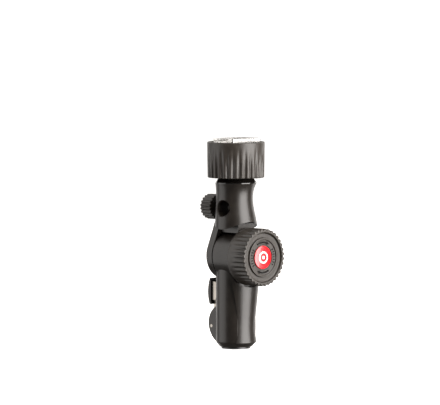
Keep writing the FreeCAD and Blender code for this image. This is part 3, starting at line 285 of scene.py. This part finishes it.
# Quads over a rows by columns grid of points, wrapped where asked.
def gridFaces(rows, columns, closeRows, closeColumns):
    r = np.arange(rows if closeRows else rows - 1)[:, None]
    c = np.arange(columns if closeColumns else columns - 1)[None, :]
    nextRow, nextColumn = (r + 1) % rows, (c + 1) % columns
    corners = [r * columns + c, nextRow * columns + c, nextRow * columns + nextColumn,
               r * columns + nextColumn]
    return np.stack([np.broadcast_to(x, (r.size, c.size)) for x in corners], axis=-1).reshape(-1, 4)


# A turned surface: the outline (along, radius) carried round the axis. relief(along, radius, angle)
# takes a depth off the radius, which cuts the flutes. An open outline starts and ends on the axis.
def turned(name, outline, closed, segments, material, axis="Z", centre=(0, 0, 0), relief=None):
    angle = np.arange(segments) * 2 * math.pi / segments
    along = np.repeat(outline[:, :1], segments, axis=1)
    radius = np.repeat(outline[:, 1:], segments, axis=1)
    swing = np.broadcast_to(angle, radius.shape)
    if relief is not None:
        radius = radius - relief(along, radius, swing)
    across, up = radius * np.cos(swing), radius * np.sin(swing)
    order = (across, up, along) if axis == "Z" else (along, across, up)
    points = np.stack(order, axis=-1).reshape(-1, 3) + np.array(centre)
    return makeObject(name, points, [gridFaces(len(outline), segments, closed, True)], material)


# Hides the CAD nodes that a piece stands for and attaches the piece to the body it moves with; the material
# slot name is not used.
def finishPiece(piece, body, slotName, *replaced):
    if replaced:
        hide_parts(*replaced)
    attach(piece, body)


segmentsPerFlute = 14                     # points round each flute
fluteSharpness = 1.6                      # power of the raised cosine: more cuts narrower grooves
skinBelow, skinAbove = 0.4, 0.1           # millimetres over which grooves come in below the skin
sharp, crisp, eased, soft, wide = 0.1, 0.2, 0.3, 0.4, 0.5    # roundings of the turned profiles, mm


# Grooves in a turned piece: depth times a raised cosine round the axis, to the power fluteSharpness. They
# have full strength at one end, fade to nothing at the other, and stay in the skin beyond radius skin.
def flutes(count, depth, full, gone, skin):
    def relief(along, radius, angle):
        wave = 0.5 + 0.5 * np.cos(count * angle)
        fade = smoothStep(gone, full, along) if full > gone else 1 - smoothStep(full, gone, along)
        onSkin = smoothStep(skin - skinBelow, skin + skinAbove, radius)
        return depth * wave ** fluteSharpness * fade * onSkin
    return relief


ring = {
    "flutes": 29,
    "depth": 1.25,       # at the lower edge
    "edge": 1.5,         # rounding of both rims
    "wall": 2.1,
    "webTop": 4.0,       # web below the top rim
    "web": 3.1,
    "hubRadius": 15.2,
    "hubDrop": 16.0,     # hub's foot below the top rim
    "boreRadius": 12.6,
    "draft": 0.4,        # lean of the skirt from top to bottom
    "fluteStart": 2.0,   # flutes have full depth this far above the lower edge
    "fluteEnd": 1.5,     # and none this far below the upper one
    "fluteSkin": 1.6,
    "step": 0.8,         # spacing of the profile's points
}


# The ring: a turned skirt with a web and a hub, fluted from its lower edge.
def makeRing():
    low, high = nodeSize("lock_ring")
    bottom, top = low[2], high[2]
    outer = (high[0] - low[0]) / 2
    inner = outer - ring["wall"]
    webTop, webLow = top - ring["webTop"], top - ring["webTop"] - ring["web"]
    hubLow = top - ring["hubDrop"]
    corners = [
        (bottom, inner, soft), (bottom, outer - ring["draft"], ring["edge"]), (top, outer, ring["edge"]),
        (top, inner, wide), (webTop, inner, eased), (webTop, ring["boreRadius"], sharp),
        (hubLow, ring["boreRadius"], crisp), (hubLow, ring["hubRadius"], soft),
        (webLow, ring["hubRadius"], soft), (webLow, inner - ring["draft"], soft),
    ]
    outline = roundedOutline(corners, True, ring["step"])
    relief = flutes(ring["flutes"], ring["depth"], bottom + ring["fluteStart"], top - ring["fluteEnd"],
                    outer - ring["fluteSkin"])
    piece = turned("fluted_lock_ring", outline, True, ring["flutes"] * segmentsPerFlute,
                   "mouldedNylonMatte", relief=relief)
    finishPiece(piece, "lock_ring", "knob_polymer", "lock_ring")


knob = {
    "flutes": 36,
    "depth": 1.2,        # at the front edge
    "edge": 0.8,
    "band": 2.6,         # smooth band at the back
    "wall": 2.1,
    "rimInner": 18.6,
    "shelfDrop": 1.8,    # recessed ring below the rim
    "seatDrop": 2.9,     # seat of the face plate below the rim
    "webDrop": 5.1,
    "hubRadius": 9.2,
    "boreRadius": 7.6,
    "faceRadius": 14.85,
    "backDraft": 0.4,    # lean of the back band
    "rimFlare": 0.3,     # rim's inner edge, out at the front
    "rimDraft": 0.4,     # and in at the recessed ring
    "hubLift": 1.0,      # hub's foot above the back edge
    "bandRound": 1.5,    # where the smooth band meets the flutes
    "fluteStart": 1.0,
    "fluteEnd": 0.3,
    "fluteSkin": 2.2,
    "step": 0.7,
}


# The tilt knob: turned about X, fluted from its front edge back to a smooth band.
def makeKnob():
    low, high = nodeSize("tilt_knob")
    back, front = low[0], high[0]
    outer = (high[1] - low[1]) / 2
    level = (high[2] + low[2]) / 2
    inner = outer - knob["wall"]
    shelf, seat, web = (front - knob[key] for key in ("shelfDrop", "seatDrop", "webDrop"))
    bandEnd, hubLow = back + knob["band"], back + knob["hubLift"]
    corners = [
        (back, inner, eased), (back, outer - knob["backDraft"], knob["edge"]),
        (bandEnd, outer, knob["bandRound"]), (front, outer, knob["edge"]),
        (front, knob["rimInner"] + knob["rimFlare"], wide),
        (shelf, knob["rimInner"] - knob["rimDraft"], soft),
        (shelf, knob["faceRadius"], crisp), (seat, knob["faceRadius"], crisp),
        (seat, knob["boreRadius"], sharp), (hubLow, knob["boreRadius"], crisp),
        (hubLow, knob["hubRadius"], eased), (web, knob["hubRadius"], wide), (web, inner, wide),
    ]
    outline = roundedOutline(corners, True, knob["step"])
    relief = flutes(knob["flutes"], knob["depth"], front - knob["fluteStart"], bandEnd - knob["fluteEnd"],
                    outer - knob["fluteSkin"])
    piece = turned("fluted_tilt_knob", outline, True, knob["flutes"] * segmentsPerFlute,
                   "mouldedNylonMatte", "X", (0, 0, level), relief)
    finishPiece(piece, "tilt_knob", "knob_polymer", "tilt_knob")
    return level


thumb = {
    "teeth": 20,
    "depth": 1.0,
    "bevel": 0.7,
    "sharpness": 1.3,    # power of the raised cosine between the teeth
    "dishRadius": 7.2,
    "dish": 1.3,         # depth of the dish on the inner side
    "faceDrop": 0.5,     # dish on the outer side
    "faceLean": 0.8,     # the same dish narrows by this
    "faceLip": 0.2,
    "dishLean": 0.6,     # the inner dish narrows by this
    "hubRoot": 3.9,      # raised hub round the shank, at its root and its face
    "hubFace": 3.6,
    "hubDrop": 0.2,
    "shankRadius": 2.7,
    "shankDepth": 6.0,
    "skinStart": 2.4,    # teeth come in over this much of the radius
    "skinFull": 1.2,
    "step": 0.7,
}


# The thumb screw's head: a turned disc, dished on both sides, with teeth cut in its rim.
def makeThumbScrew():
    low, high = nodeSize("thumb_screw_head")
    outer, inner = low[0], high[0]
    radius = (high[1] - low[1]) / 2
    level = (high[2] + low[2]) / 2
    dish, drop = thumb["dishRadius"], thumb["dish"]
    sunk = outer + thumb["faceDrop"]
    hubTop, shankEnd = inner - thumb["hubDrop"], inner - thumb["shankDepth"]
    corners = [
        (sunk, 0.0, 0), (sunk, dish - thumb["faceLean"], soft), (outer, dish + thumb["faceLip"], soft),
        (outer, radius, thumb["bevel"]), (inner, radius, thumb["bevel"]), (inner, dish, soft),
        (inner - drop, dish - thumb["dishLean"], soft), (inner - drop, thumb["hubRoot"], eased),
        (hubTop, thumb["hubFace"], eased), (hubTop, thumb["shankRadius"], sharp),
        (shankEnd, thumb["shankRadius"], 0), (shankEnd, 0.0, 0),
    ]
    outline = roundedOutline(corners, False, thumb["step"])

    def relief(along, reach, angle):
        wave = 0.5 + 0.5 * np.cos(thumb["teeth"] * angle)
        skin = smoothStep(radius - thumb["skinStart"], radius - thumb["skinFull"], reach)
        return thumb["depth"] * wave ** thumb["sharpness"] * skin

    piece = turned("toothed_thumb_head", outline, False, thumb["teeth"] * segmentsPerFlute,
                   "mouldedNylonMatte", "X", (0, 0, level), relief)
    finishPiece(piece, "thumb_screw", "knob_polymer", "thumb_screw_head")


stud = {
    "pitch": 0.8,
    "threadDepth": 0.42,
    "lead": 0.6,         # bevel at the tip
    "sharpness": 1.5,    # power that narrows the thread's grooves
    "rowsPerTurn": 8,
    "skinStart": 0.2,
    "skinFull": 0.1,
    "segments": 48,
}


# The stud's thread: radius falls by threadDepth in a rounded V once each pitch along the helix.
def makeStud():
    low, high = nodeSize("thumb_screw_stud")
    radius = (high[1] - low[1]) / 2
    level = (high[2] + low[2]) / 2
    corners = [(low[0], 0.0, 0), (low[0], radius, 0), (high[0], radius, 0), (high[0], 0.0, 0)]
    outline = roundedOutline(corners, False, stud["pitch"] / stud["rowsPerTurn"])

    def relief(along, reach, angle):
        turn = along / stud["pitch"] - angle / (2 * math.pi)
        groove = stud["threadDepth"] * np.abs(np.cos(math.pi * turn)) ** stud["sharpness"]
        lead = stud["lead"] * (1 - smoothStep(0, stud["lead"], high[0] - along))
        skin = smoothStep(radius - stud["skinStart"], radius - stud["skinFull"], reach)
        return np.minimum(reach, (groove + lead) * skin)

    piece = turned("threaded_stud", outline, False, stud["segments"], "zincPlatedSteel", "X",
                   (0, 0, level), relief)
    finishPiece(piece, "thumb_screw", "bolt_steel", "thumb_screw_stud")


face = {
    "bezelInner": 13.2,
    "bezelHeight": 1.0,      # bezel above the dial
    "dialInner": 9.8,
    "markHeight": 0.45,
    "markRadius": 11.45,     # middle of the dial's marks
    "markHalf": 0.75,
    "grooveDrop": 0.6,
    "bezelFlare": 0.3,       # bezel's inner wall, out at its top
    "bezelLean": 0.1,        # and in at its foot
    "grooveRound": 0.25,
    "step": 0.8,
    "segments": 192,
    "markSink": 0.05,        # marks start this far inside the dial
    "arrowTail": 30.0,       # degrees from an arrow's middle to its tail, its bar's end and its tip
    "arrowEnd": 18.0,
    "arrowTip": 32.0,
    "headLength": 14.0,
    "headWidth": 1.7,        # arrow head's half width, in half widths of the bar
    "tickFrom": 60,          # degrees, clockwise from the top, and the same again half a turn on
    "tickTo": 130,
    "tickEvery": 10,
    "tickHalf": 1.6,         # degrees
    "tickReach": 0.9,        # millimetres to each side of markRadius
}


# A raised bar that follows the dial: radius between inner and outer, angle from start to end in degrees
# clockwise from the top, with its top edges drawn in by a fifth of its height.
def sectorSlab(inner, outer, start, end, low, high, count=24):
    angle = np.radians(90 - np.linspace(start, end, count))
    draw = (high - low) / 5
    section = np.array([(inner, low), (inner + draw, high), (outer - draw, high), (outer, low)])
    radius, along = section[:, :1], np.repeat(section[:, 1:], count, axis=1)
    points = np.stack([along, radius * np.cos(angle), radius * np.sin(angle)], axis=-1).reshape(-1, 3)
    ends = np.array([[i * count for i in range(4)], [i * count + count - 1 for i in range(4)][::-1]])
    return points, [gridFaces(4, count, True, False), ends]


# A raised triangle on the dial whose point is at angle tip, with its base headLength behind it.
def arrowHead(radius, width, tip, low, high):
    base = tip - face["headLength"]
    half = width * face["headWidth"]
    flat = np.array([(radius - half, base), (radius + half, base), (radius, tip)])
    angle = np.radians(90 - flat[:, 1])
    rim = np.stack([flat[:, 0] * np.cos(angle), flat[:, 0] * np.sin(angle)], axis=-1)
    points = np.concatenate([np.column_stack([np.full(3, level), rim]) for level in (low, high)])
    sides = np.array([[0, 1, 4, 3], [1, 2, 5, 4], [2, 0, 3, 5]])
    return points, [sides, np.array([[0, 1, 2], [3, 4, 5]])]


# Several small solids as one object, shifted up to the knob's axis.
def joinPieces(name, solids, material, level):
    points, faces, count = [], [], 0
    for solid, groups in solids:
        points.append(solid + np.array((0, 0, level)))
        faces += [group + count for group in groups]
        count += len(solid)
    return makeObject(name, np.concatenate(points), faces, material, smooth=False)


# The dial on the knob: a turned plate with a raised bezel and a sunk middle.
def makeFace(level):
    low, high = nodeSize("knob_face_plate")
    seat, top = low[0], high[0]
    radius = (high[1] - low[1]) / 2
    dial = top - face["bezelHeight"]
    centre, lean = dial - face["grooveDrop"], face["bezelLean"]
    corners = [
        (seat, 0.0, 0), (seat, radius, sharp), (top, radius, soft),
        (top, face["bezelInner"] + face["bezelFlare"], soft), (dial, face["bezelInner"] - lean, eased),
        (dial, face["dialInner"], face["grooveRound"]), (centre, face["dialInner"] - lean, sharp),
        (centre, 0.0, 0),
    ]
    outline = roundedOutline(corners, False, face["step"])
    plate = turned("dial_plate", outline, False, face["segments"], "mouldedNylonMatte", "X", (0, 0, level))
    finishPiece(plate, "tilt_knob", "knob_polymer", "knob_face_plate")
    # two turn arrows and a scale of ticks stand for the words on a real dial
    base, raised = dial - face["markSink"], dial + face["markHeight"]
    middle, half = face["markRadius"], face["markHalf"]
    reach, swing = face["tickReach"], face["tickHalf"]
    solids = []
    for turn in (0, 180):
        start, end = turn - face["arrowTail"], turn + face["arrowEnd"]
        solids.append(sectorSlab(middle - half, middle + half, start, end, base, raised))
        solids.append(arrowHead(middle, half, turn + face["arrowTip"], base, raised))
    for angle in np.arange(face["tickFrom"], face["tickTo"], face["tickEvery"]):
        for side in (angle, angle + 180):
            start, end = side - swing, side + swing
            solids.append(sectorSlab(middle - reach, middle + reach, start, end, base, raised, 3))
    marks = joinPieces("dial_marks", solids, "polishedAcetalBlack", level)
    finishPiece(marks, "tilt_knob", "pad_black")


badge = {
    "edge": 0.35,
    "dome": 0.45,
    "ringOuter": 4.6,
    "ringInner": 3.3,
    "dotRadius": 1.3,
    "inkLift": 0.03,
    "inkDepth": 0.15,    # the ring's ink
    "dotDepth": 0.3,     # the dot's ink below the dome's top
    "skirtDrop": 0.3,    # skirt below the dome's rim
    "skirtRise": 0.08,   # and its rounded shoulder
    "skirtInset": 0.1,
    "domeRows": 14,
    "domeSegments": 160,
    "ringSegments": 128,
    "dotSegments": 64,
}


# Height of the domed face: a parabola from the rim's level up by dome at the centre.
def domeHeight(radius, rim, top):
    return top - badge["dome"] * (radius / rim) ** 2


# The badge: a red dome with a white ring and dot laid just over it.
def makeBadge(level):
    low, high = nodeSize("knob_badge")
    seat, top = low[0], high[0]
    rim = (high[1] - low[1]) / 2
    reach = np.linspace(rim - badge["edge"], 0, badge["domeRows"])
    dome = np.stack([domeHeight(reach, rim, top), reach], axis=-1)
    shoulder = top - badge["dome"]
    skirt = np.array([(seat, 0.0), (seat, rim), (shoulder - badge["skirtDrop"], rim),
                      (shoulder - badge["skirtRise"], rim - badge["skirtInset"])])
    piece = turned("badge_dome", np.concatenate([skirt, dome]), False, badge["domeSegments"],
                   "redResinDome", "X", (0, 0, level))
    finishPiece(piece, "tilt_knob", "badge_red", "knob_badge")
    lift = badge["inkLift"]
    span = np.linspace(badge["ringOuter"], badge["ringInner"], 5)
    upper = np.stack([domeHeight(span, rim, top) + lift, span], axis=-1)
    lower = upper[::-1] - np.array((badge["inkDepth"], 0))
    ink = turned("badge_ring", np.concatenate([upper, lower]), True, badge["ringSegments"], "whitePrint",
                 "X", (0, 0, level))
    finishPiece(ink, "tilt_knob", "badge_red")
    span = np.linspace(badge["dotRadius"], 0, 4)
    upper = np.stack([domeHeight(span, rim, top) + lift, span], axis=-1)
    foot = top - badge["dotDepth"]
    under = np.array([(foot, 0.0), (foot, badge["dotRadius"])])
    ink = turned("badge_dot", np.concatenate([under, upper]), False, badge["dotSegments"], "whitePrint",
                 "X", (0, 0, level))
    finishPiece(ink, "tilt_knob", "badge_red")


makeRing()
print("lock ring")
knobLevel = makeKnob()
makeFace(knobLevel)
makeBadge(knobLevel)
print("tilt knob")
makeThumbScrew()
makeStud()
print("thumb screw")


studio = {
    "floorSize": 60.0,
    "floorColour": "#d8d6d3",
    "floorRoughness": 0.9,
    "floorGap": 0.0005,      # metres below the part
    "glowColour": "#f2f1ef",
    "glow": 1.1,
    "worldColour": "#fffaf5",
    "worldStrength": 0.16,
}


# A pale sheet under the part that glows a little by itself and doesn't show in its reflections.
def makeFloor():
    half = studio["floorSize"] / 2
    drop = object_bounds()[0].z - studio["floorGap"]
    corners = np.array([(-half, -half, drop), (half, -half, drop), (half, half, drop), (-half, half, drop)])
    floorMaterial = bpy.data.materials.new("paleStudioSweep")
    floorMaterial.use_nodes = True
    shader = floorMaterial.node_tree.nodes["Principled BSDF"]
    shader.inputs["Base Color"].default_value = toLinear(studio["floorColour"])
    shader.inputs["Roughness"].default_value = studio["floorRoughness"]
    shader.inputs["Emission Color"].default_value = toLinear(studio["glowColour"])
    shader.inputs["Emission Strength"].default_value = studio["glow"]
    materials["paleStudioSweep"] = floorMaterial
    floor = makeObject("studio_floor", corners / mm, [np.array([[0, 1, 2, 3]])], "paleStudioSweep", False)
    floor.visible_glossy = False
    floor.visible_diffuse = False
    floor.visible_shadow = False


def makeWorld():
    world = bpy.data.worlds.new("studioWorld")
    world.use_nodes = True
    tree = world.node_tree
    tree.nodes.clear()
    colour = toLinear(studio["worldColour"])
    dim = {"Color": colour, "Strength": studio["worldStrength"]}
    room = addNode(tree, "ShaderNodeBackground", inputs=dim)
    seen = addNode(tree, "ShaderNodeBackground", inputs={"Color": colour, "Strength": 1.0})
    ray = addNode(tree, "ShaderNodeLightPath")
    mix = addNode(tree, "ShaderNodeMixShader", links={
        0: ray.outputs["Is Camera Ray"], 1: room.outputs[0], 2: seen.outputs[0]})
    addNode(tree, "ShaderNodeOutputWorld", links={"Surface": mix.outputs[0]})
    bpy.context.scene.world = world


lampColour = (1.0, 0.97, 0.945)      # linear, a little warm

# azimuth and elevation of each soft box in degrees, distance and size in metres, radiance in W/m2/sr
softBoxes = {
    "keyBox": {"azimuth": 104, "elevation": 14, "distance": 1.2, "size": (1.2, 2.0), "radiance": 8.6},
    "leftFill": {"azimuth": -42, "elevation": 8, "distance": 1.4, "size": (1.4, 2.2), "radiance": 1.7},
    "leftRim": {"azimuth": -112, "elevation": 8, "distance": 1.3, "size": (1.0, 2.2), "radiance": 1.1},
    "rightRim": {"azimuth": 190, "elevation": 8, "distance": 1.3, "size": (0.6, 2.0), "radiance": 1.8},
    "topBox": {"azimuth": 46, "elevation": 78, "distance": 1.3, "size": (1.2, 1.2), "radiance": 2.5},
}


# Unit vector from the part towards a viewer: azimuth 0 stands on -Y, 90 on +X.
def viewDirection(azimuth, elevation):
    a, e = math.radians(azimuth), math.radians(elevation)
    return Vector((math.sin(a) * math.cos(e), -math.cos(a) * math.cos(e), math.sin(e)))


def makeLights(centre):
    for name, box in softBoxes.items():
        light = bpy.data.lights.new(name, "AREA")
        light.shape = "RECTANGLE"
        light.size, light.size_y = box["size"]
        light.energy = box["radiance"] * box["size"][0] * box["size"][1] * math.pi
        light.color = lampColour
        lamp = bpy.data.objects.new(name, light)
        direction = viewDirection(box["azimuth"], box["elevation"])
        lamp.location = centre + direction * box["distance"]
        lamp.rotation_euler = direction.to_track_quat("Z", "Y").to_euler()
        lamp.visible_camera = False
        bpy.context.scene.collection.objects.link(lamp)


view = {
    "azimuth": 46.0,
    "elevation": 3.5,
    "distance": 3.7,
    "frameWidth": 0.3322,     # width seen at the part
    "aimHeight": 0.1102,
    "aimAside": -0.012,       # the part stands right of the frame's middle
    "sensor": 36.0,
    "clipEnd": 100,
    "lampHeight": 0.08,       # the soft boxes look at this height
}


def makeCamera():
    direction = viewDirection(view["azimuth"], view["elevation"])
    a = math.radians(view["azimuth"])
    aim = Vector((math.cos(a), math.sin(a), 0)) * view["aimAside"] + Vector((0, 0, view["aimHeight"]))
    camera = bpy.data.cameras.new("camera")
    camera.sensor_width = view["sensor"]
    camera.lens = view["sensor"] * view["distance"] / view["frameWidth"]
    camera.clip_end = view["clipEnd"]
    eye = bpy.data.objects.new("camera", camera)
    eye.location = aim + direction * view["distance"]
    eye.rotation_euler = direction.to_track_quat("Z", "Y").to_euler()
    bpy.context.scene.collection.objects.link(eye)
    bpy.context.scene.camera = eye


makeFloor()
makeWorld()
makeLights(Vector((0, 0, view["lampHeight"])))
makeCamera()
bpy.context.scene.view_settings.view_transform = "Standard"
print("studio")
